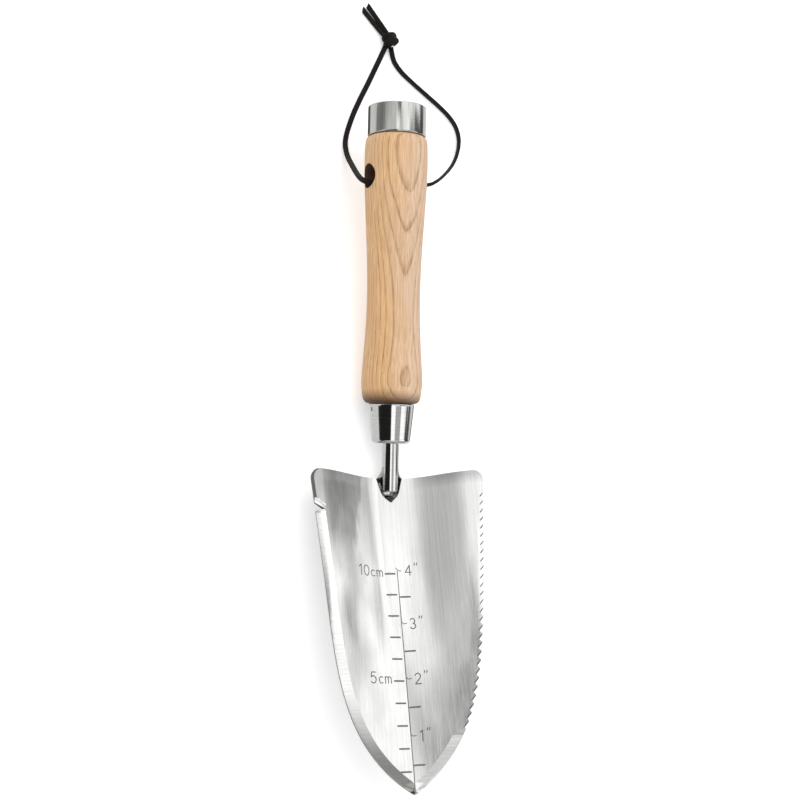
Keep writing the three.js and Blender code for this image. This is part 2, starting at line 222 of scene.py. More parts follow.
def add_object(name, points, faces, laid=LAID):
    """A new object with that mesh. Points are in millimetres, in the frame that laid places."""
    points = np.asarray(points, float) * MM @ np.array(laid.to_3x3()).T + np.array(laid.translation)
    mesh = bpy.data.meshes.new(name)
    mesh.from_pydata(points.tolist(), [], faces)
    made = bpy.data.objects.new(name, mesh)
    bpy.context.scene.collection.objects.link(made)
    return made


def shade(made, sharp_above=35):
    """Outward normals, and smooth shading except over sharp edges and where the look changes."""
    mesh = bmesh.new()
    mesh.from_mesh(made.data)
    bmesh.ops.recalc_face_normals(mesh, faces=mesh.faces)
    for face in mesh.faces:
        face.smooth = True
    for edge in mesh.edges:
        alike = len({face.material_index for face in edge.link_faces}) == 1
        edge.smooth = alike and edge.calc_face_angle(math.pi) < sharp_above * DEG
    mesh.to_mesh(made.data)
    mesh.free()


def dress(made, look, sharp_above=35):
    """Shades a piece and gives it its look."""
    shade(made, sharp_above)
    made.data.materials.append(look)
    return made


def between_rings(a, b, size):
    """Quads between two rings of size points, which start at indices a and b."""
    return [(a + k, a + (k + 1) % size, b + (k + 1) % size, b + k) for k in range(size)]


def tube_faces(rings, size):
    """Faces of a tube with closed ends: that many rings of size points."""
    faces = [tuple(range(size))]
    for i in range(rings - 1):
        faces += between_rings(i * size, (i + 1) * size, size)
    faces.append(tuple((rings - 1) * size + k for k in range(size)))
    return faces


def unit(rows):
    return rows / np.linalg.norm(rows, axis=1)[:, None]


def turned(name, profile, sides=160, laid=LAID):
    """A piece turned about Y. Its profile is a closed outline of (radius, y), or one that starts
    and ends on the axis."""
    profile = np.array(profile, float)
    angles = np.linspace(0, 2 * math.pi, sides, endpoint=False)
    rings = [np.column_stack([r * np.sin(angles), np.full(sides, y), r * np.cos(angles)])
             for r, y in profile]
    closed = profile[0][0] > 0
    faces = []
    count = len(profile)
    for i in range(count if closed else count - 1):
        faces += between_rings(i * sides, (i + 1) % count * sides, sides)
    made = add_object(name, np.vstack(rings), faces, laid)
    mesh = bmesh.new()
    mesh.from_mesh(made.data)
    bmesh.ops.remove_doubles(mesh, verts=mesh.verts, dist=1e-7)
    mesh.to_mesh(made.data)
    mesh.free()
    return made


def cut(made, cutter):
    """Cuts cutter out of made."""
    modifier = made.modifiers.new("cut", "BOOLEAN")
    modifier.object = cutter
    modifier.solver = "EXACT"
    bpy.context.view_layer.update()
    depsgraph = bpy.context.evaluated_depsgraph_get()
    made.data = bpy.data.meshes.new_from_object(made.evaluated_get(depsgraph))
    made.modifiers.clear()
    bpy.data.objects.remove(cutter)


# ---- Blade ----
# x is the distance from the keel across the blade, s the distance from the back edge along it.

def half_width(s):
    s = np.asarray(s, float)
    plan = ((HALF_WIDTH - SIDE_TAPER * s)
            * (1 - (np.clip(s, 0, BLADE_LENGTH) / BLADE_LENGTH) ** TIP_SHARPNESS) ** TIP_FULLNESS)
    in_corner = np.clip(CORNER_RADIUS - s, 0, CORNER_RADIUS)
    return plan - CORNER_RADIUS + np.sqrt(CORNER_RADIUS**2 - in_corner**2)


def pressed_height(x, s):
    """Height of the pressed sheet's inside above the keel line, with the pocket in its heel."""
    width = np.maximum(half_width(np.maximum(s, CORNER_RADIUS)), 0.01)
    depth = TROUGH_DEPTH * (1 - (s / BLADE_LENGTH) ** 2)
    bowl = smoothstep(KEEL_FLAT, np.maximum(width, KEEL_FLAT + 0.01), np.abs(x))
    vee = np.minimum(np.abs(x) / width, 1)
    trough = depth * (bowl + (vee - bowl) * smoothstep(CREASE_START, CREASE_END, s))
    keel_rise = HEEL_Z + s * math.sin(BLADE_TILT)
    pocket = (keel_rise + POCKET_DEPTH) / math.cos(BLADE_TILT)
    narrowing = POCKET_TAPER * s + POCKET_CURL * np.maximum(s - POCKET_NARROWS, 0) ** 2
    half = np.where(x > 0, POCKET_RIGHT_HALF_WIDTH, POCKET_HALF_WIDTH)
    rim = np.maximum(half - narrowing, 0.5)
    bowl = 1 - np.minimum(np.abs(x) / rim, 1) ** POCKET_BELLY
    across = (1 + POCKET_EASE) * bowl**2 / (bowl + POCKET_EASE)
    return trough - pocket * across * (1 - smoothstep(POCKET_FLOOR_END, POCKET_END, s))


def sheet_point(x, s, below):
    """Points at a depth below the sheet's inside, square to it, in the blade's own frame."""
    step = 0.2
    across = (pressed_height(x + step, s) - pressed_height(x - step, s)) / (2 * step)
    along = (pressed_height(x, s + step) - pressed_height(x, s - step)) / (2 * step)
    normal = unit(np.column_stack([-across, along, np.ones_like(x)]))
    return np.column_stack([x, -s, pressed_height(x, s)]) - below[:, None] * normal


def bevel_inner(s):
    """Distance from the keel to the inner line of the ground strips."""
    slope = half_width(np.minimum(s + 0.5, BLADE_LENGTH)) - half_width(s - 0.5)
    return half_width(s) - np.minimum(BEVEL_WIDTH * np.hypot(1, slope), 0.97 * half_width(s))


def run_out(s, start):
    return 1 - smoothstep(start, start + BEVEL_RUN_OUT, s)


def notch():
    """The twine notch's flanks in plan: its top, its apex and its end, as (x, s)."""
    edge = -float(half_width(NOTCH_APEX))
    return (edge - 2, NOTCH_TOP), (edge + NOTCH_DEPTH, NOTCH_APEX), (edge - 2, NOTCH_END)


def ground_away(x, s):
    """Depth that grinding takes off the inside: the two edge strips and the notch's chamfer."""
    inner = bevel_inner(s)
    outward = (np.abs(x) - inner) / np.maximum(half_width(s) - inner, 0.05)
    start = np.where(x < 0, LEFT_BEVEL_START, RIGHT_BEVEL_START)
    strip = np.clip(outward - run_out(s, start), 0, 1) * (s > start)
    strip = np.where((x < 0) & (s < NOTCH_APEX), 0, strip)
    (x0, s0), (x1, s1), _ = notch()
    length = math.hypot(x1 - x0, s1 - s0)
    above = ((x - x0) * (s1 - s0) - (s - s0) * (x1 - x0)) / length
    chamfer = np.clip(1 - above / NOTCH_CHAMFER, 0, 1) * (above > -0.01) * (x < x1 + 0.6)
    chamfer *= smoothstep(NOTCH_TOP - 1.5, NOTCH_TOP + 1.5, s) * (s < NOTCH_APEX)
    return GROUND_DEPTH * np.maximum(strip, NOTCH_CHAMFER_DEPTH * chamfer)


def tooth_points():
    """The serrated edge in plan: each V cut's two ends and root, as (x, s)."""
    points = []
    s = FIRST_TOOTH
    for _ in range(TOOTH_COUNT):
        slope = float(half_width(s + 0.5) - half_width(s - 0.5))
        along = 1 / math.hypot(1, slope)
        reach = TOOTH_REACH * TOOTH_PITCH * along
        root = (float(half_width(s)) - TOOTH_DEPTH * along, s - TOOTH_DEPTH * slope * along)
        points += [(float(half_width(s - reach)), s - reach), root,
                   (float(half_width(s + reach)), s + reach)]
        s += TOOTH_PITCH * along
    return points


def tooth_facets():
    """The outline of the facet on each tooth's upper flank, as (x, s), from its outer end."""
    points = tooth_points()
    facets = []
    for start, root in zip(points[::3], points[1::3]):
        facets.append([(start[0] - 0.06, start[1] + 0.04),
                       (start[0] - 0.85 * TOOTH_FACET, start[1] - 0.1),
                       (root[0] - TOOTH_FACET, root[1] - 0.3), (root[0] - 0.06, root[1])])
    return facets


def in_facet(x, s, facet):
    """Whether each point (x, s) is in that facet."""
    inside = np.zeros(len(x), bool)
    for (x0, s0), (x1, s1) in zip(facet, facet[1:] + facet[:1]):
        crosses = (s0 > s) != (s1 > s)
        inside ^= crosses & (x < x0 + (s - s0) * (x1 - x0) / (s1 - s0 + 1e-9))
    return inside


def at_root(x, s):
    """1 at the teeth's roots and 0 away from them."""
    near = np.zeros(len(x))
    for root_x, root_s in tooth_points()[1::3]:
        near = np.maximum(near, np.hypot(x - root_x, s - root_s) < 0.05)
    return near


def side(start, end, step=0.6):
    """Points of the blade's plain right edge between two stations, as (x, s)."""
    stations = np.linspace(start, end, max(2, math.ceil((end - start) / step) + 1))
    return [(float(half_width(s)), float(s)) for s in stations]


def blade_edges():
    """The right and the left edge in plan, each from the back edge to the tip."""
    corner = [(float(half_width(s)), s) for s in
              (CORNER_RADIUS * (1 - math.cos(a * DEG)) for a in range(0, 90, 9))]
    near_tip = BLADE_LENGTH - 1.2
    tip = side(near_tip, BLADE_LENGTH - 0.12, 0.2)
    teeth = tooth_points()
    right = [*corner, *side(CORNER_RADIUS, teeth[0][1] - 0.3), *teeth,
             *side(teeth[-1][1] + 0.4, near_tip - 0.5), *tip]
    flank_top, apex, flank_end = notch()
    top_edge = left_edge_crossing(flank_top, apex)
    end_edge = left_edge_crossing(flank_end, apex)
    left = [*corner, *side(CORNER_RADIUS, top_edge[1] - 0.4), (-top_edge[0], top_edge[1]),
            (-apex[0], apex[1]), (-end_edge[0], end_edge[1]),
            *side(end_edge[1] + 0.4, near_tip - 0.5), *tip]
    return right, [(-x, s) for x, s in left]


def left_edge_crossing(outer, inner):
    """Where the line between two points crosses the blade's left edge."""
    for share in np.linspace(0, 1, 400):
        x = outer[0] + (inner[0] - outer[0]) * share
        s = outer[1] + (inner[1] - outer[1]) * share
        if x >= -float(half_width(s)):
            return x, s
    return inner


def figure_strokes():
    """Each figure as strokes in a box one high, with x to the right and y up, and its width."""
    return {
        "0": (0.76, [arc(0.3, 0.5, 0.27, 0.5, 90, 450, 14)]),
        "1": (0.58, [[(0.08, 0.8), (0.3, 1), (0.3, 0)]]),
        "2": (0.76, [[*arc(0.3, 0.72, 0.25, 0.28, 165, -35, 7), (0.04, 0), (0.58, 0)]]),
        "3": (0.76, [[*arc(0.28, 0.75, 0.22, 0.25, 150, -80, 7),
                      *arc(0.28, 0.26, 0.27, 0.26, 80, -150, 8)]]),
        "4": (0.76, [[(0.46, 0), (0.46, 1), (0.02, 0.3), (0.6, 0.3)]]),
        "5": (0.84, [[(0.54, 1), (0.13, 1), (0.08, 0.55),
                      *arc(0.29, 0.33, 0.28, 0.33, 120, -145, 9)]]),
        "c": (0.62, [arc(0.28, 0.3, 0.23, 0.3, 50, 310, 9)]),
        "m": (0.8, [[(0.06, 0), (0.06, 0.6)],
                    [(0.06, 0.4), *arc(0.21, 0.42, 0.15, 0.18, 150, 0, 4), (0.36, 0)],
                    [(0.36, 0.4), *arc(0.51, 0.42, 0.15, 0.18, 150, 0, 4), (0.66, 0)]]),
        '"': (0.5, [[(0.22, 1.18), (0.17, 0.98)], [(0.44, 1.18), (0.39, 0.98)]]),
    }


def written(text, x, s, height):
    """Strokes of a text that starts at x and stands with its middle at station s."""
    figures = figure_strokes()
    strokes = []
    for letter in text:
        width, outlines = figures[letter]
        for stroke in outlines:
            strokes.append([(x + height * u, s - height * (v - 0.5)) for u, v in stroke])
        x += height * width
    return strokes


def scale_strokes():
    """The depth scale's strokes, each group with its line width: the line down the keel,
    centimetres on its left, inches on its right, and their figures."""
    middle = 0.5 * (SCALE_TOP + SCALE_BOTTOM)
    keel_line = [[(0, SCALE_TOP), (0, middle), (0, SCALE_BOTTOM)]]
    ticks = []
    for cm in range(1, 11):
        s = BLADE_LENGTH - 10 * cm
        ticks.append([(-TICK_GAP - CM_TICK, s), (-TICK_GAP, s)])
    for half_inches in range(1, 8):
        s = BLADE_LENGTH - half_inches * INCH / 2
        if half_inches % 2:
            ticks.append([(0.6, s), (0.6 + HALF_INCH_TICK, s)])
        else:
            keel_line.append([(0.1, s - 0.9), (0.9, s), (0.9 + INCH_TICK, s - 0.2)])
    top = BLADE_LENGTH - 4 * INCH
    keel_line.append([(-0.7, top - 1.2), (0.5, top + 0.1), (1.9, top + 0.3)])
    figures = written("10cm", -20.2, BLADE_LENGTH - 101, CM_FIGURE)
    figures += written("5cm", -18.0, BLADE_LENGTH - 51.4, CM_FIGURE)
    for inches in range(1, 5):
        figures += written(f'{inches}"', 3.8, BLADE_LENGTH - inches * INCH, INCH_FIGURE)
    return [(keel_line, KEEL_LINE_WIDTH), (ticks, TICK_WIDTH), (figures, FIGURE_LINE_WIDTH)]


def segments_of(strokes):
    pairs = [(a, b) for stroke in strokes for a, b in zip(stroke, stroke[1:])]
    return np.array(pairs, float)


def distance_to(x, s, segments):
    """Distance of each point (x, s) from the nearest segment."""
    nearest = np.full(len(x), np.inf)
    for (ax, ay), (bx, by) in segments:
        dx, dy = bx - ax, by - ay
        t = np.clip(((x - ax) * dx + (s - ay) * dy) / (dx * dx + dy * dy), 0, 1)
        nearest = np.minimum(nearest, np.hypot(x - ax - t * dx, s - ay - t * dy))
    return nearest


class Plan:
    """Points and edges in plan for one face of the blade, and their triangulation."""

    def __init__(self, edge_loop):
        self.points = list(edge_loop)
        count = len(edge_loop)
        self.edges = [(i, (i + 1) % count) for i in range(count)]
        self.loop_count = count

    def line(self, points, closed=False):
        first = len(self.points)
        self.points += points
        count = len(points)
        self.edges += [(first + i, first + i + 1) for i in range(count - 1)]
        if closed:
            self.edges.append((first + count - 1, first))

    def triangulated(self):
        """x and s of each vertex, the triangles, and the vertices of the edge loop in order."""
        points = [Vector(p) for p in self.points]
        vertices, _, faces, origins, _, _ = delaunay_2d_cdt(points, self.edges, [], 1, 1e-5)
        loop = {}
        for vertex, sources in enumerate(origins):
            for source in sources:
                if source < self.loop_count:
                    loop[source] = vertex
        x, s = np.array(vertices, float).T
        return x, s, [tuple(face) for face in faces], [loop[i] for i in range(self.loop_count)]


def inner_points(step, right, left, keep_clear):
    """A grid of plan points inside the blade's edges, finer in the pocket, off the lines."""
    right_s, right_x = np.array([(s, x) for x, s in right]).T
    left_s, left_x = np.array([(s, x) for x, s in left]).T
    grids = []
    for fine in (1, 2):
        xs = np.arange(-43, 43, step / fine) + 0.11
        ss = np.arange(0.15, BLADE_LENGTH - 0.5, step / fine) + 0.13
        x, s = (g.ravel() for g in np.meshgrid(xs, ss))
        in_pocket = (np.abs(x) < POCKET_HALF_WIDTH + 1.5) & (s < POCKET_END + 1.5)
        keep = in_pocket if fine == 2 else ~in_pocket
        grids.append(np.column_stack([x, s])[keep])
    x, s = np.vstack(grids).T
    margin = 0.4 * step
    inside = (x < np.interp(s, right_s, right_x) - margin)
    inside &= (x > np.interp(s, left_s, left_x) + margin)
    x, s = x[inside], s[inside]
    if len(keep_clear):
        off = distance_to(x, s, keep_clear) > 0.35
        x, s = x[off], s[off]
    return list(zip(x.tolist(), s.tolist()))


def capsule(a, b, radius):
    """The outline at a distance round the segment from a to b."""
    turn = math.degrees(math.atan2(b[1] - a[1], b[0] - a[0]))
    return [*arc(*b, radius, radius, turn - 90, turn + 90, 4),
            *arc(*a, radius, radius, turn + 90, turn + 270, 4)]


def strip_line(start, stations, sign):
    """The inner line of a ground strip in plan."""
    inner = bevel_inner(stations)
    inner += (half_width(stations) - inner) * run_out(stations, start)
    return list(zip((sign * inner).tolist(), stations.tolist()))


BRUSHED, ETCHED, SHEARED, GROUND = range(4)      # the blade's looks
TRACE = 0.02                     # depth from which a face counts as ground or engraved
INSIDE_GRID = 0.7
UNDERSIDE_GRID = 1.4


def make_blade():
    right, left = blade_edges()
    back = [(float(x), 0.0) for x in np.arange(-37, 37.1, 0.5)]
    edge_loop = [*back, *right, *reversed(left)]
    left_strip = strip_line(LEFT_BEVEL_START, np.arange(NOTCH_END + 0.6, BLADE_LENGTH - 1, 0.8), -1)
    right_strip = strip_line(RIGHT_BEVEL_START,
                             np.arange(RIGHT_BEVEL_START + 1, BLADE_LENGTH - 1, 0.8), 1)

    top = Plan(edge_loop)
    top.line(left_strip)
    top.line(right_strip)
    stations = np.arange(1.5, NOTCH_TOP - 0.5, 0.7)
    corner_band = list(zip((CORNER_BAND - half_width(stations)).tolist(), stations.tolist()))
    top.line(corner_band)
    clear = [segments_of([left_strip, right_strip, corner_band, *tooth_facets()])]
    for facet in tooth_facets():
        top.line(facet)
    engraved = []
    for strokes, width in scale_strokes():
        segments = segments_of(strokes)
        engraved.append((segments, width))
        clear.append(segments)
        for a, b in segments:
            top.line(capsule(a, b, width / 2), closed=True)
            top.line([tuple(a), tuple(b)])
    top.points += inner_points(INSIDE_GRID, right, left, np.vstack(clear))
    x, s, faces, top_loop = top.triangulated()
    groove = np.zeros(len(x))
    for segments, width in engraved:
        depth = np.clip(1 - distance_to(x, s, segments) / (width / 2), 0, 1)
        groove = np.maximum(groove, depth * width / TICK_WIDTH)
    taken_off = ground_away(x, s) + LINE_DEPTH * groove + TOOTH_GROUND * at_root(x, s)
    upper = sheet_point(x, s, taken_off)
    corners = np.array(faces)
    middle_x, middle_s = x[corners].mean(axis=1), s[corners].mean(axis=1)
    sheared = (middle_s < NOTCH_TOP - 0.9) & (middle_x < CORNER_BAND - half_width(middle_s))
    for facet in tooth_facets():
        sheared |= in_facet(middle_x, middle_s, facet)
    slots = np.where(ground_away(x, s)[corners].max(axis=1) > TRACE, GROUND, BRUSHED)
    slots = np.where(sheared, SHEARED, slots)
    slots = np.where(groove[corners].max(axis=1) > TRACE, ETCHED, slots).tolist()

    under = Plan(edge_loop)
    under.points += inner_points(UNDERSIDE_GRID, right, left, ())
    x, s, under_faces, under_loop = under.triangulated()
    stretched = (1 - np.clip(np.abs(x) / POCKET_HALF_WIDTH, 0, 1) ** 2)
    stretched *= 1 - smoothstep(POCKET_FLOOR_END, POCKET_END, s)
    lower = sheet_point(x, s, BLADE_SHEET - POCKET_THINNING * stretched)

    shift = len(upper)
    faces += [tuple(shift + v for v in face) for face in under_faces]
    top_loop.append(top_loop[0])
    under_loop.append(under_loop[0])
    faces += [(top_loop[i], top_loop[i + 1], shift + under_loop[i + 1], shift + under_loop[i])
              for i in range(len(edge_loop))]
    slots += [BRUSHED] * len(under_faces) + [SHEARED] * len(edge_loop)
    blade = add_object("blade_sheet", np.vstack([upper, lower]), faces, BLADE_LAID)
    blade.data.polygons.foreach_set("material_index", slots)
    shade(blade, 24)
    for look in (brushed_steel(), etched_steel(), sheared_steel(), ground_steel()):
        blade.data.materials.append(look)
    return blade


# ---- Neck, ferrule and end cap ----

def make_neck():
    chamfer = 0.8
    rod = turned("neck", [
        (0, ROD_FRONT),
        (ROD_RADIUS - chamfer, ROD_FRONT),
        *arc(ROD_RADIUS - chamfer, ROD_FRONT + chamfer, chamfer, chamfer, -70, 0, 5),
        (ROD_RADIUS, ROD_BACK - chamfer),
        (ROD_RADIUS - chamfer, ROD_BACK),
        (0, ROD_BACK),
    ], sides=96)
    return dress(rod, polished_steel())


def make_weld():
    """A smooth fillet round the rod's underside, where it meets the heel's back face."""
    rings, steps = 120, 14
    tilt = math.tan(BLADE_TILT)
    inner = ROD_RADIUS + 0.02
    points = []
    for turn in np.radians(np.linspace(66, 294, rings)):
        swell = WELD_SWELL * float(smoothstep(-0.55, 0.35, -math.cos(turn)))
        swell *= 1 + 0.03 * math.sin(9 * turn)

        def at(radius, share):
            z = radius * math.cos(turn)
            face = HEEL_Y + (z - HEEL_Z) * tilt + WELD_START
            y = face + (HEEL_Y + WELD_LENGTH - face) * share
            points.append((radius * math.sin(turn), y, z))

        for share in np.linspace(0, 1, steps):
            at(inner + 0.05 + swell * (1 - share) ** 2.4, share)
        at(inner, 1)
        at(inner, 0)
    weld = add_object("neck_bead", points, tube_faces(rings, steps + 2))
    return dress(weld, weld_steel(), 50)


def ferrule_inside(y):
    narrowing = (FERRULE_BACK_RADIUS - FERRULE_FRONT_RADIUS) * y / FERRULE_LENGTH
    return FERRULE_BACK_RADIUS + narrowing - FERRULE_WALL


def pin_rod(name, radius, outer_end, inner_end, dome):
    """A pin whose axis is radial, towards the left and up."""
    laid = LAID @ Matrix.Translation((0, PIN_Y * MM, 0)) @ Matrix.Rotation(-PIN_TURN, 4, "Y")
    laid = laid @ Matrix.Rotation(90 * DEG, 4, "X")
    edge = 0.12
    return turned(name, [
        (0, inner_end),
        (radius, inner_end),
        (radius, outer_end - edge),
        (radius - edge, outer_end),
        (0.5 * radius, outer_end + 0.7 * dome),
        (0, outer_end + dome),
    ], sides=48, laid=laid)


def make_ferrule():
    hole = ROD_RADIUS + 0.12
    front = -FERRULE_LENGTH
    rim = 0.25
    ferrule = turned("ferrule_cup", [
        (ferrule_inside(-SEAM), -SEAM),
        (FERRULE_BACK_RADIUS - rim, -SEAM),
        *arc(FERRULE_BACK_RADIUS - rim, -SEAM - rim, rim, rim, 60, 0, 3),
        (FERRULE_BACK_RADIUS - 0.05, -SEAM - 1.2),
        *arc(FERRULE_FRONT_RADIUS - FERRULE_CORNER, front + FERRULE_CORNER,
             FERRULE_CORNER, FERRULE_CORNER, 0, -90, 14),
        (hole + 0.25, front),
        (hole, front + 0.25),
        (hole, front + FERRULE_WALL),
        (ferrule_inside(front) - 1, front + FERRULE_WALL),
        (ferrule_inside(front + 3), front + 3),
    ], sides=200)
    cut(ferrule, pin_rod("pin_hole", PIN_RADIUS + 0.12, FERRULE_BACK_RADIUS + 1, 5, 0.1))
    pin_end = FERRULE_BACK_RADIUS - PIN_SINK
    pin = pin_rod("ferrule_pin_head", PIN_RADIUS, pin_end, pin_end + 0.25 - PIN_LENGTH, 0.15)
    return dress(ferrule, polished_steel()), dress(pin, weld_steel())


def make_end_cap():
    front = HANDLE_LENGTH + SEAM
    back = front + CAP_LENGTH
    inside = CAP_RADIUS - CAP_WALL
    lip = 0.2
    cap = turned("end_cap_cup", [
        (inside, front),
        (CAP_RADIUS - lip, front),
        *arc(CAP_RADIUS - lip, front + lip, lip, lip, -60, 0, 3),
        (CAP_RADIUS, front + 1),
        *arc(CAP_RADIUS - CAP_EDGE, back - CAP_EDGE, CAP_EDGE, CAP_EDGE, 0, 90, 8),
        (0.6 * CAP_RADIUS, back),
        (0, back),
        (0, back - CAP_WALL),
        (inside, back - CAP_WALL),
    ], sides=200)
    return dress(cap, satin_steel())


# ---- Handle ----

def cross_hole():
    """The lanyard's hole, with a small chamfer round its mouths."""
    reach = 22
    lip_start = 14.6
    lip = [(HOLE_RADIUS + HOLE_LIP * (1 - math.cos(a)), lip_start + 1.2 * HOLE_LIP * math.sin(a))
           for a in np.radians(np.linspace(0, 70, 7))]
    outer = (lip[-1][0] + 6, reach)
    profile = [(0, -reach), (outer[0], -outer[1]), *[(r, -y) for r, y in reversed(lip)],
               *lip, outer, (0, reach)]
    turn = Matrix.Rotation(HOLE_TURN, 4, "Y") @ Matrix.Rotation(-90 * DEG, 4, "Z")
    return turned("cross_hole", profile, 128, LAID @ Matrix.Translation((0, HOLE_Y * MM, 0)) @ turn)


def make_handle():
    bore = ROD_RADIUS + 0.2
    spigot_end = -FERRULE_LENGTH + FERRULE_WALL + SEAM
    shoulder = 2.2
    handle = turned("ash_handle", [
        (bore, spigot_end),
        (ferrule_inside(-FERRULE_LENGTH) - 1.3, spigot_end),
        (ferrule_inside(-FERRULE_LENGTH + 3.4) - SEAM, spigot_end + 2.4),
        (ferrule_inside(0) - SEAM, 0),
        (11.2, 0),
        *spline([*NOSE, GRIP[0]], 5)[:-1],
        *spline(GRIP, 12),
        *arc(12.8, HANDLE_LENGTH - shoulder, shoulder, shoulder, 22, 90, 9),
        (TENON_RADIUS - 0.3, HANDLE_LENGTH),
        (TENON_RADIUS - 0.3, HANDLE_LENGTH + TENON_LENGTH),
        (0, HANDLE_LENGTH + TENON_LENGTH),
        (0, ROD_BACK + 1),
        (bore, ROD_BACK + 1),
    ], sides=224)
    cut(handle, cross_hole())
    return dress(handle, ash_wood())


# ---- Thong ----

def thong_section():
    """A flat-cut thong's section: half its width and half its thickness, with worn corners."""
    w = THONG_WIDTH / 2 - THONG_CORNER
    t = THONG_THICKNESS / 2 - THONG_CORNER
    c = THONG_CORNER
    corners = [(w, t, 0), (-w, t, 90), (-w, -t, 180), (w, -t, 270)]
    return [p for x, y, start in corners for p in arc(x, y, c, c, start, start + 90, 3)]


def leather_tube(name, points, sharp_above):
    """A thong's piece from its rings of points."""
    rings, size, _ = points.shape
    made = add_object(name, points.reshape(-1, 3), tube_faces(rings, size), Matrix.Identity(4))
    return dress(made, leather(), sharp_above)


def lying(centre, side_way, out_way):
    """Lowers or raises the points that lie on the floor until the thong's lowest side is on it."""
    w, t = THONG_WIDTH / 2, THONG_THICKNESS / 2
    c = THONG_CORNER
    reach = (np.abs(side_way[:, 2]) * (w - c) + np.abs(out_way[:, 2]) * (t - c)
             + c * np.hypot(side_way[:, 2], out_way[:, 2]))
    settled = 1 - smoothstep(LYING_Z + 0.2, 5, centre[:, 2])
    centre[:, 2] += (reach + FLOOR_GAP - LYING_Z) * settled
    centre[:, 2] = np.maximum(centre[:, 2], reach + FLOOR_GAP)
    return centre


def swept_thong(name, route, twist, slant=0.0):
    """A thong along a route. Twist gives shares of the route, and the turn of the wide side from
    facing up at each, in degrees. Slant is how far its last end is cut on the skew."""
    centre = spline(route, ROUTE_STEPS)
    tangent = unit(np.gradient(centre, axis=0))
    side_way = unit(np.cross(tangent, (0, 0, 1)))
    out_way = np.cross(side_way, tangent)
    turn = np.radians(np.interp(np.linspace(0, 1, len(centre)), twist[0], twist[1]))[:, None]
    side_way, out_way = (side_way * np.cos(turn) + out_way * np.sin(turn),
                         out_way * np.cos(turn) - side_way * np.sin(turn))
    centre = lying(centre, side_way, out_way)
    section = thong_section()
    points = [centre + side_way * x + out_way * y for x, y in section]
    points = np.stack(points, axis=1)
    for k, (x, _) in enumerate(section):
        points[-1, k] += tangent[-1] * slant * x
        points[-2, k] += tangent[-2] * slant * x * 0.6
    return leather_tube(name, points, 50), centre * MM


def make_knot():
    """An overhand knot pulled tight: turns of the thong wrapped round its doubled legs."""
    along = Vector((-0.5, 0.86, 0.02)).normalized()
    right = along.cross(Vector((0, 0, 1))).normalized()
    up = right.cross(along)
    turns = (
        # start and sweep in degrees, shift along the legs, lean of the turn, radius
        ("knot_turn_low", -70, 420, -2.3, 0.45, 2.55),
        ("knot_turn_high", 110, 430, 1.0, -0.6, 2.6),
        ("knot_turn_over", 20, 250, -0.4, 1.5, 2.9),
    )
    core, wide, flat = 0.9, 1.3, 0.8
    made = []
    for name, start, sweep, shift, lean, radius in turns:
        route = []
        for share in np.linspace(0, 1, 15):
            angle = (start + sweep * share) * DEG
            tucked = 1 - abs(2 * share - 1) ** 5
            reach = core + (radius - core) * tucked
            lift = shift + 1.3 * (share - 0.5) + lean * math.cos(angle)
            point = (Vector(KNOT_CENTRE) + along * lift + right * reach * wide * math.cos(angle)
                     + up * reach * flat * math.sin(angle))
            route.append(tuple(point))
        made.append(wrapped_band(name, route, along))
    return made


def wrapped_band(name, route, along):
    """A turn of the knot: a soft band whose wide side faces out from the knot's middle."""
    centre = spline(route, ROUTE_STEPS)
    tangent = unit(np.gradient(centre, axis=0))
    out_way = unit(np.cross(tangent, np.array(along)))
    side_way = np.cross(out_way, tangent)
    section = arc(0, 0, *KNOT_BAND, 0, 360, 16)[:-1]
    points = np.stack([centre + side_way * x + out_way * y for x, y in section], axis=1)
    points[:, :, 2] = np.maximum(points[:, :, 2], 2 * FLOOR_GAP)
    return leather_tube(name, points, 60)


def make_lanyard():
    left, left_path = swept_thong("thong_left", LEFT_ROUTE, ((0, 0.3, 1), (0, 0, 20)))
    right, right_path = swept_thong("thong_right", RIGHT_ROUTE,
                                    ((0, 0.12, 0.85, 1), (0, 84, 88, 60)))
    tails = [swept_thong(f"thong_tail_{side_name}", route, ((0, 1), twist), slant)[0]
             for side_name, route, twist, slant in (("right", TAIL_ROUTES[0], (30, 22), 0.55),
                                                    ("left", TAIL_ROUTES[1], (-24, -14), 0.8))]
    knot = make_knot()
    return [left, right, *tails, *knot]


# ---- Materials ----

class Nodes:
    """Short ways to add nodes to a tree."""

    def __init__(self, tree):
        self.tree = tree

    def add(self, kind, inputs=None, **settings):
        made = self.tree.nodes.new("ShaderNode" + kind)
        for key, value in settings.items():
            setattr(made, key, value)
        for key, value in (inputs or {}).items():
            if isinstance(value, bpy.types.NodeSocket):
                self.tree.links.new(value, made.inputs[key])
            else:
                made.inputs[key].default_value = value
        return made

    def math(self, operation, a, b=0.0):
        return self.add("Math", {0: a, 1: b}, operation=operation).outputs[0]

    def span(self, value, low, high, to_low=0.0, to_high=1.0, **settings):
        inputs = {0: value, 1: low, 2: high, 3: to_low, 4: to_high}
        return self.add("MapRange", inputs, **settings).outputs[0]


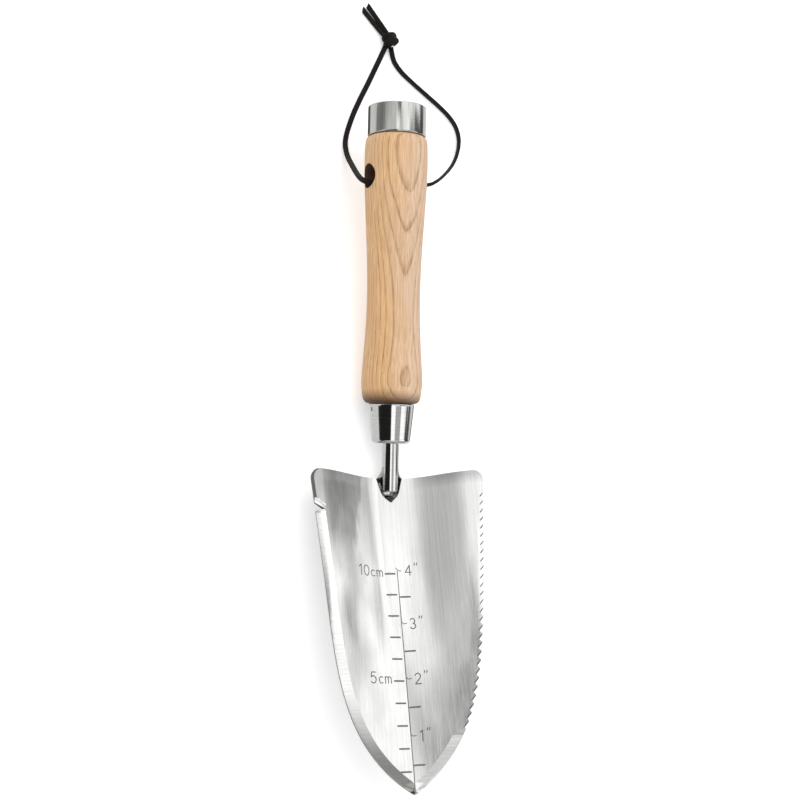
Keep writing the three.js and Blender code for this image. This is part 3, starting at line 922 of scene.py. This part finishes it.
class Look(Nodes):
    """A Principled material. Its place is in millimetres, in the frame that laid places."""

    def __init__(self, name, laid=LAID, **constants):
        self.material = bpy.data.materials.new(name)
        self.material.use_nodes = True
        super().__init__(self.material.node_tree)
        self.shader = self.tree.nodes["Principled BSDF"]
        for key, value in constants.items():
            self.shader.inputs[key.replace("_", " ")].default_value = value
        metres = self.add("TexCoord").outputs["Object"]
        lain = self.add("Mapping", {"Vector": metres, "Location": laid.translation,
                                    "Rotation": laid.to_euler(), "Scale": (MM, MM, MM)},
                        vector_type="TEXTURE")
        self.place = lain.outputs[0]

    def axes(self):
        return self.add("SeparateXYZ", {0: self.place}).outputs

    def vector(self, operation, a, b=(0, 0, 0)):
        """A vector's operation. To scale it, b is a number."""
        second = "Scale" if operation == "SCALE" else 1
        made = self.add("VectorMath", {0: a, second: b}, operation=operation)
        return made.outputs["Value" if operation == "LENGTH" else "Vector"]

    def noise(self, frequency, detail=2.0, roughness=0.5, output=0):
        """Noise with that many features per millimetre along x, y and z, as a value from its
        output 0 or as a colour from its output 1."""
        scaled = self.add("Mapping", {"Vector": self.place, "Scale": frequency})
        made = self.add("TexNoise", {"Vector": scaled.outputs[0], "Scale": 1.0, "Detail": detail,
                                     "Roughness": roughness})
        return made.outputs[output]

    def ramp(self, value, stops):
        made = self.add("ValToRGB", {0: value})
        elements = made.color_ramp.elements
        while len(elements) < len(stops):
            elements.new(0.5)
        for element, (position, color) in zip(elements, stops):
            element.position = position
            element.color = (*color, 1)
        return made.outputs[0]

    def mix(self, share, a, b):
        inputs = {0: share}
        for index, color in ((6, a), (7, b)):
            inputs[index] = (*color, 1) if isinstance(color, tuple) else color
        return self.add("Mix", inputs, data_type="RGBA").outputs[2]

    def bump(self, height, distance, normal=None):
        """A bump whose height from 0 to 1 is that many millimetres, on top of another one."""
        inputs = {"Height": height, "Distance": distance * MM, "Strength": 1.0}
        if normal:
            inputs["Normal"] = normal
        return self.add("Bump", inputs).outputs[0]

    def use(self, **sockets):
        for key, value in sockets.items():
            self.tree.links.new(value, self.shader.inputs[key.replace("_", " ")])
        return self.material


def steel(look, color, roughness, grain, grain_height, waves=None):
    """Bare steel with a grain of fine lines, a cloudy polish, and a bump of slow waves."""
    lines = look.noise(grain, 3.0, 0.6)
    coarse = look.noise(tuple(0.22 * g for g in grain), 2.0, 0.5)
    cloud = look.noise((0.06, 0.035, 0.06), 4.0, 0.6)
    tone = look.math("ADD", look.math("MULTIPLY", lines, 0.55), look.math("MULTIPLY", coarse, 0.45))
    dark, light = tuple(0.84 * c for c in color), tuple(min(1.08 * c, 1) for c in color)
    tinted = look.mix(look.span(tone, 0.32, 0.68), dark, light)
    dull_tone_and_shade = tuple(0.5 * c for c in color)
    clouded = look.mix(look.span(cloud, 0.35, 0.7, 0.0, 0.16), tinted, dull_tone_and_shade)
    rough = look.math("ADD", look.span(cloud, 0.3, 0.7, 0.8 * roughness, 1.15 * roughness),
                      look.span(tone, 0.3, 0.7, -0.12 * roughness, 0.12 * roughness))
    return clouded, rough, look.bump(tone, grain_height, waves)


def plain_steel(name, laid, *surface):
    look = Look(name, laid, Metallic=1.0)
    color, rough, grained = steel(look, *surface)
    return look.use(Base_Color=color, Roughness=rough, Normal=grained)


# Painted shade on the blade's wall left of the keel near the heel
PAINTED_SHADE_START = 14.5                # from the keel at the heel, on the left
PAINTED_SHADE_LEAN = 0.19                 # how the zone's edge nears the keel along the blade
PAINTED_SHADE_LENGTH = 52
PAINTED_SHADE_STRENGTH = 0.55


def brushed_steel():
    """The blade's sheet, brushed from heel to tip, with the slow waves of its pressing. Painted
    shade darkens the wall left of the keel near the heel, and a band by the back edge right of it."""
    look = Look("brushed_steel_look", BLADE_LAID, Metallic=1.0)
    waves = look.bump(look.noise((0.06, 0.02, 0.06), 1.0, 0.4), 0.7)
    color, rough, grained = steel(look, (0.69, 0.69, 0.68), 0.2, (6.0, 0.05, 6.0), 0.007, waves)
    across, along, _ = look.axes()
    # painted shade: the base colour is darkened on the wall left of the keel near the heel
    edge = look.math("ADD", across, look.math("MULTIPLY", along, -PAINTED_SHADE_LEAN))
    edge = look.math("ADD", edge, look.span(look.noise((0.2, 0.05, 0.2), 3.0), 0.3, 0.7, -2.0, 2.0))
    beside = look.span(edge, -PAINTED_SHADE_START - 1.6, -PAINTED_SHADE_START + 1.2, 1.0, 0.0)
    near_heel = look.span(along, -PAINTED_SHADE_LENGTH, -0.55 * PAINTED_SHADE_LENGTH)
    shade_breakup = look.span(look.noise((0.09, 0.03, 0.09), 3.0, 0.6), 0.3, 0.7, 0.75, 1.25)
    dull_tone_and_shade = look.math("MULTIPLY", look.math("MULTIPLY", beside, near_heel), shade_breakup)
    # painted shade along the back edge, right of the keel
    back_edge_shade = look.math("MULTIPLY", look.span(along, -6.5, -1.5, 0.0, 0.75),
                        look.span(across, 8.0, 22.0))
    dull_tone_and_shade = look.math("MAXIMUM", dull_tone_and_shade, back_edge_shade)
    shaded_color = look.mix(look.math("MULTIPLY", dull_tone_and_shade, PAINTED_SHADE_STRENGTH), color, (0.13, 0.13, 0.125))
    return look.use(Base_Color=shaded_color, Roughness=rough, Normal=grained)


def ground_steel():
    """The ground strips, bright, and darker towards the tip on the left."""
    look = Look("ground_steel_look", BLADE_LAID, Metallic=1.0)
    color, rough, grained = steel(look, (0.74, 0.74, 0.73), 0.2, (0.05, 5.0, 5.0), 0.006)
    across, along, _ = look.axes()
    # the left ground strip is darker towards the tip
    left = look.math("LESS_THAN", across, 0.0)
    darkened = look.math("MULTIPLY", look.span(along, -136.0, -100.0, 0.85, 0.0), left)
    return look.use(Base_Color=look.mix(darkened, color, (0.2, 0.2, 0.19)), Roughness=rough,
                    Normal=grained)


def etched_steel():
    """The walls of the engraved lines, dull and darkened."""
    return plain_steel("etched_steel_look", BLADE_LAID, (0.26, 0.26, 0.26), 0.5, (3, 3, 3), 0.01)


def sheared_steel():
    """The sheet's cut edges, dark and torn square to the sheet."""
    return plain_steel("sheared_steel_look", BLADE_LAID, (0.13, 0.13, 0.125), 0.48,
                       (5.0, 5.0, 0.5), 0.02)


def polished_steel():
    return plain_steel("polished_steel_look", LAID, (0.6, 0.6, 0.59), 0.09, (0.4, 9.0, 0.4), 0.0012)


def satin_steel():
    """The end cap: drawn steel with fine scratches along it and a dull bloom."""
    look = Look("satin_steel_look", Metallic=1.0)
    waves = look.bump(look.noise((0.16, 0.02, 0.16), 1.0, 0.4), 0.14)
    color, rough, grained = steel(look, (0.62, 0.62, 0.6), 0.13, (4.0, 0.1, 4.0), 0.004, waves)
    streaks = look.noise((0.5, 0.012, 0.5), 2.0, 0.6)
    streaked = look.mix(look.span(streaks, 0.42, 0.66, 0.0, 0.4), color, (0.27, 0.262, 0.23))
    return look.use(Base_Color=streaked, Roughness=rough, Normal=grained)


def weld_steel():
    look = Look("weld_steel_look", Metallic=1.0)
    grit = look.noise((2.5, 2.5, 2.5), 3.0, 0.6)
    tint = look.ramp(grit, [(0.3, (0.34, 0.33, 0.32)), (0.6, (0.52, 0.51, 0.49))])
    return look.use(Base_Color=tint, Roughness=look.span(grit, 0.3, 0.7, 0.2, 0.36),
                    Normal=look.bump(grit, 0.02))


RING_WIDTH = 1.4                 # of a year's growth
RING_PHASE = 0.17                # share of a year's growth
PITH_DISTANCE = 27               # from the handle's axis, at its front end
PITH_TURN = 187 * DEG            # from the top of the handle towards the right
PITH_LEAN = 0.027                # growth of that distance per millimetre towards the cap
TAN_WOOD = (0.78, 0.49, 0.25)
PINK_WOOD = (0.73, 0.565, 0.44)
FIBRE_WOOD = (0.5, 0.285, 0.13)
RING_WOOD = (0.27, 0.14, 0.055)
PORE_WOOD = (0.15, 0.072, 0.03)
# colour that the wood darkens to at its front end, next to the ferrule
NOSE_DARK_WOOD = (0.075, 0.036, 0.018)
# painted shade inside the lanyard's hole
HOLE_SHADE_WOOD = (0.11, 0.06, 0.04)


def ash_wood():
    """Ring-porous ash: year rings round a pith outside the handle, with lines of open pores."""
    look = Look("ash_wood_look", Specular_IOR_Level=0.3)
    across, along, _ = look.axes()
    wander = look.vector("SUBTRACT", look.noise((0.06, 0.012, 0.06), 2.0, 0.45, 1), (0.5,) * 3)
    bent = look.vector("ADD", look.place, look.vector("SCALE", wander, 2.0))
    outward = (-math.sin(PITH_TURN), 0, -math.cos(PITH_TURN))
    leant = look.vector("SCALE", outward, look.math("MULTIPLY", along, PITH_LEAN))
    from_pith = look.vector("ADD", bent, tuple(PITH_DISTANCE * c for c in outward))
    from_pith = look.vector("ADD", from_pith, leant)
    radius = look.vector("LENGTH", look.vector("MULTIPLY", from_pith, (1, 0, 1)))
    rings = look.math("ADD", look.math("DIVIDE", radius, RING_WIDTH), RING_PHASE)
    year = look.math("FRACT", rings)

    early = look.ramp(year, [(0.0, (0.2,) * 3), (0.04, (1,) * 3), (0.12, (0.7,) * 3),
                             (0.26, (0.12,) * 3), (0.9, (0.0,) * 3), (1.0, (0.2,) * 3)])
    broken = look.span(look.noise((1.4, 0.05, 1.4), 3.0, 0.6), 0.36, 0.6, 0.25, 1.0)
    early = look.math("MULTIPLY", early, broken)
    fibres = look.noise((3.2, 0.05, 3.2), 4.0, 0.62)
    pores = look.span(look.noise((4.5, 0.2, 4.5), 2.0, 0.5), 0.55, 0.66)
    in_early = look.math("MULTIPLY", pores, early)
    flecks = look.span(look.noise((3.4, 0.16, 3.4), 2.0, 0.5), 0.66, 0.74)

    patchy = look.math("ADD", look.span(look.noise((0.07, 0.02, 0.07), 2.0), 0.3, 0.7, -0.3, 0.3),
                       look.span(across, -9.0, 6.0, 0.0, 1.0))
    ground = look.mix(patchy, TAN_WOOD, PINK_WOOD)
    bands = look.span(look.noise((0.85, 0.012, 0.85), 2.0, 0.55), 0.42, 0.62, 0.0, 0.4)
    ground = look.mix(bands, ground, FIBRE_WOOD)
    fibred = look.mix(look.span(fibres, 0.34, 0.66, 0.0, 0.75), ground, FIBRE_WOOD)
    ringed = look.mix(look.math("MULTIPLY", early, 0.72), fibred, RING_WOOD)
    pored = look.mix(look.math("MULTIPLY", in_early, 0.95), ringed, PORE_WOOD)
    flecked = look.mix(look.math("MULTIPLY", flecks, 0.45), pored, PORE_WOOD)
    # darker towards the front end next to the ferrule, most on the left
    edge = look.math("ADD", along, look.span(fibres, 0.3, 0.7, -1.4, 1.4))
    edge = look.math("ADD", edge, look.span(across, -6.0, 12.0, 0.0, 1.8))
    darkened = look.mix(look.span(edge, 1.0, 6.8, 0.95, 0.0), flecked, NOSE_DARK_WOOD)
    # painted shade: the wall of the lanyard's hole is darkened
    hole_shaded = look.mix(look.math("LESS_THAN", hole_distance(look), HOLE_RADIUS + 0.1), darkened,
                     HOLE_SHADE_WOOD)

    relief = look.math("SUBTRACT", look.math("MULTIPLY", fibres, 0.35), in_early)
    rough = look.span(fibres, 0.3, 0.7, 0.46, 0.6)
    return look.use(Base_Color=hole_shaded, Roughness=rough, Normal=look.bump(relief, 0.05))


def hole_distance(look):
    """Distance from the axis of the lanyard's hole."""
    turned_back = look.add("Mapping", {"Vector": look.place, "Rotation": (0, -HOLE_TURN, 0),
                                       "Location": (0, -HOLE_Y, 0)})
    return look.vector("LENGTH", look.vector("MULTIPLY", turned_back.outputs[0], (0, 1, 1)))


def leather():
    """Near-black leather: a fine pebbled grain, with creases and a little polish from handling."""
    look = Look("leather_look", Matrix.Identity(4), Specular_IOR_Level=0.16)
    pebbles = look.add("TexVoronoi", {"Vector": look.place, "Scale": 3.4, "Randomness": 1.0},
                       feature="DISTANCE_TO_EDGE").outputs["Distance"]
    creases = look.noise((1.1, 1.1, 1.1), 4.0, 0.65)
    wear = look.noise((0.18, 0.18, 0.18), 3.0)
    base = look.mix(look.span(wear, 0.3, 0.7), (0.0045, 0.0032, 0.0028), (0.009, 0.0058, 0.0046))
    tinted = look.mix(look.span(creases, 0.45, 0.75, 0.0, 0.6), base, (0.017, 0.010, 0.008))
    rough = look.span(creases, 0.3, 0.7, 0.44, 0.62)
    height = look.math("ADD", look.span(pebbles, 0.0, 0.25), creases)
    return look.use(Base_Color=tinted, Roughness=rough, Normal=look.bump(height, 0.06))


# ---- Stage ----

def make_camera():
    data = bpy.data.cameras.new("photo_camera")
    data.lens = CAMERA_LENS
    data.sensor_width = 36
    camera = bpy.data.objects.new("photo_camera", data)
    bpy.context.scene.collection.objects.link(camera)
    aim = CAMERA_AIM.normalized()
    right = aim.cross(CAMERA_UP).normalized()
    up = right.cross(aim)
    turn = Matrix((right, up, -aim)).transposed().to_4x4()
    camera.matrix_world = Matrix.Translation(CAMERA_PLACE) @ turn
    bpy.context.scene.camera = camera


def make_floor():
    corners = [(FLOOR_REACH * x, FLOOR_REACH * y, FLOOR_LEVEL)
               for x, y in ((-1, -1), (1, -1), (1, 1), (-1, 1))]
    floor = add_object("floor", corners, [(0, 1, 2, 3)], Matrix.Identity(4))
    look = Look("pale_floor", Matrix.Identity(4), Roughness=0.9, Specular_IOR_Level=0.2,
                Emission_Color=(1, 1, 1, 1), Emission_Strength=FLOOR_GLOW)
    tone = look.mix(look.noise((0.01, 0.01, 0.01), 2.0), (0.86, 0.86, 0.86), (0.89, 0.89, 0.89))
    floor.data.materials.append(look.use(Base_Color=tone))
    floor.visible_glossy = False


def make_studio():
    """A pale studio: bright soft boxes overhead, to the right and behind, and a dark side where
    the photographer stands. A patch is given by x, y and z of a unit vector towards the sky."""
    world = bpy.data.worlds.new("studio")
    bpy.context.scene.world = world
    world.use_nodes = True
    sky = Nodes(world.node_tree)
    toward = sky.add("SeparateXYZ", {0: sky.add("TexCoord").outputs["Generated"]}).outputs

    def between(value, low, high, soft):
        """1 between low and high, and 0 outside them, over a soft border."""
        sides = [sky.span(value, *ends, interpolation_type="SMOOTHSTEP")
                 for ends in ((low - soft, low + soft), (high + soft, high - soft))]
        return sky.math("MULTIPLY", *sides)

    light = BASE_LIGHT
    for x_low, x_high, y_low, y_high, soft, brightness, *z_ends in LIGHT_PATCHES:
        inside = sky.math("MULTIPLY", between(toward[0], x_low, x_high, soft),
                          between(toward[1], y_low, y_high, soft))
        inside = sky.math("MULTIPLY", inside, between(toward[2], *(z_ends or OVERHEAD), soft))
        light = sky.add("Mix", {0: inside, 2: light, 3: brightness}).outputs[0]
    seen = sky.add("LightPath").outputs["Is Camera Ray"]
    shown = sky.add("Mix", {0: seen, 2: light, 3: BASE_LIGHT}).outputs[0]
    background = sky.tree.nodes["Background"]
    background.inputs["Color"].default_value = (1, 1, 1, 1)
    sky.tree.links.new(shown, background.inputs["Strength"])

    for name, place, energy, size in SOFT_LIGHTS:
        disk = bpy.data.lights.new(name, "AREA")
        disk.shape = "DISK"
        disk.size = size
        disk.energy = energy
        lamp = bpy.data.objects.new(name, disk)
        bpy.context.scene.collection.objects.link(lamp)
        lamp.location = place
        lamp.rotation_euler = (-Vector(place)).to_track_quat("-Z", "Y").to_euler()
        lamp.visible_glossy = False


BASE_LIGHT = 0.95
FLOOR_REACH = 4000
FLOOR_LEVEL = -0.06
FLOOR_GLOW = 0.3                 # the floor is a pale sheet lit from below
OVERHEAD = (0.0, 1.1)            # z from and to of a patch that gives none
LIGHT_PATCHES = [
    # x from and to, y from and to, softness of the border, brightness, z from and to
    # seen by the blade's right half
    (-1.10, -0.53, 0.14, 0.60, 0.05, 0.70),
    (-0.53, -0.30, 0.14, 0.35, 0.04, 0.80),
    (-0.40, 0.66, 0.36, 0.80, 0.05, 1.38),
    (-0.34, 0.01, 0.245, 0.345, 0.03, 0.62),
    (-0.18, 0.02, 0.300, 0.370, 0.02, 1.30),
    (-0.22, 0.03, 0.05, 0.238, 0.02, 0.02),
    # seen by its left half
    (0.52, 0.84, 0.10, 0.46, 0.04, 1.65),
    (0.84, 1.10, 0.10, 0.34, 0.04, 1.35),
    (0.76, 0.92, 0.265, 0.335, 0.02, 2.00),
    (0.70, 1.10, 0.08, 0.235, 0.02, 1.00),
    (0.75, 0.83, 0.345, 0.40, 0.02, 0.45),
    (0.80, 1.10, 0.35, 0.60, 0.03, 0.55),
    (0.68, 1.10, 0.43, 0.60, 0.02, 0.45),
    # seen by its ground strips
    (0.02, 0.40, 0.17, 0.42, 0.03, 1.70),
    (0.15, 0.42, -0.01, 0.20, 0.03, 1.45),
    (-0.05, 0.36, -0.15, -0.04, 0.02, 0.50),
    (0.36, 0.55, -0.15, -0.01, 0.02, 0.75),
    # seen by the end cap
    (-1.10, -0.84, 0.12, 0.36, 0.03, 0.28, -0.20, 0.46),
    (-0.84, -0.32, 0.06, 0.17, 0.03, 0.85, 0.3, 1.1),
    (-0.31, -0.07, 0.05, 0.15, 0.02, 1.60),
    (-0.06, 0.15, 0.04, 0.14, 0.02, 0.90),
    (0.42, 0.58, 0.04, 0.16, 0.02, 1.75),
    (0.60, 0.80, 0.06, 0.155, 0.02, 0.50, 0.3, 1.1),
    (0.80, 1.10, 0.08, 0.24, 0.02, 0.08, -0.12, 0.58),
    (0.89, 1.10, 0.20, 0.34, 0.02, 0.10, -0.30, 0.09),
    (-0.55, 0.15, 0.28, 0.50, 0.03, 0.12, -1.1, -0.78),
    # seen by the ferrule
    (-1.10, -0.24, -0.60, -0.10, 0.02, 0.02, 0.05, 1.1),
    (-0.24, 0.13, -0.60, -0.22, 0.02, 1.75, 0.05, 1.1),
    (0.13, 0.61, -0.60, -0.20, 0.03, 0.60, 0.05, 1.1),
    (0.61, 0.94, -0.60, -0.165, 0.02, 1.75, 0.05, 1.1),
    (0.94, 1.10, -0.60, -0.095, 0.02, 0.09, -0.10, 0.35),
    (0.86, 1.10, -0.60, -0.020, 0.02, 0.09, -0.50, 0.05),
    # seen by the neck
    (-0.95, -0.22, -0.14, 0.02, 0.02, 0.02, 0.30, 1.1),
    (-0.22, 0.46, -0.22, -0.152, 0.02, 1.75, 0.10, 1.1),
    (0.46, 0.84, -0.165, -0.04, 0.02, 0.55, 0.10, 1.1),
    (0.30, 0.84, 0.05, 0.22, 0.02, 0.15, -1.1, -0.66),
    # the dark side where the photographer stands, seen by faces turned to the front
    (-1.10, 1.10, -1.10, -0.60, 0.06, 0.35, -1.1, 0.40),
]
SOFT_LIGHTS = [
    # name, place, energy, size
    ("key_light", (0.15, 0.3, 1.1), 3.6, 0.9),
    ("fill_light", (-0.85, 0.1, 0.8), 2.6, 1.0),
]


# ---- The trowel ----

make_camera()
lanyard = make_lanyard()
make_floor()
make_studio()
bpy.context.scene.view_settings.view_transform = "Standard"

PIECES = [
    (make_blade(), "blade", "brushed_steel"),
    (make_neck(), "neck_rod", "polished_steel"),
    (make_weld(), "neck_weld", "weld_steel"),
    *zip(make_ferrule(), ("ferrule", "ferrule_pin"), ("polished_steel", "weld_steel")),
    (make_handle(), "handle", "ash_wood"),
    (make_end_cap(), "end_cap", "satin_steel"),
    *((piece, "lanyard_cord", "brown_leather") for piece in lanyard),
]
for piece, node_name, slot_name in PIECES:
    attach(piece, ROOT)
    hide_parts(node_name)
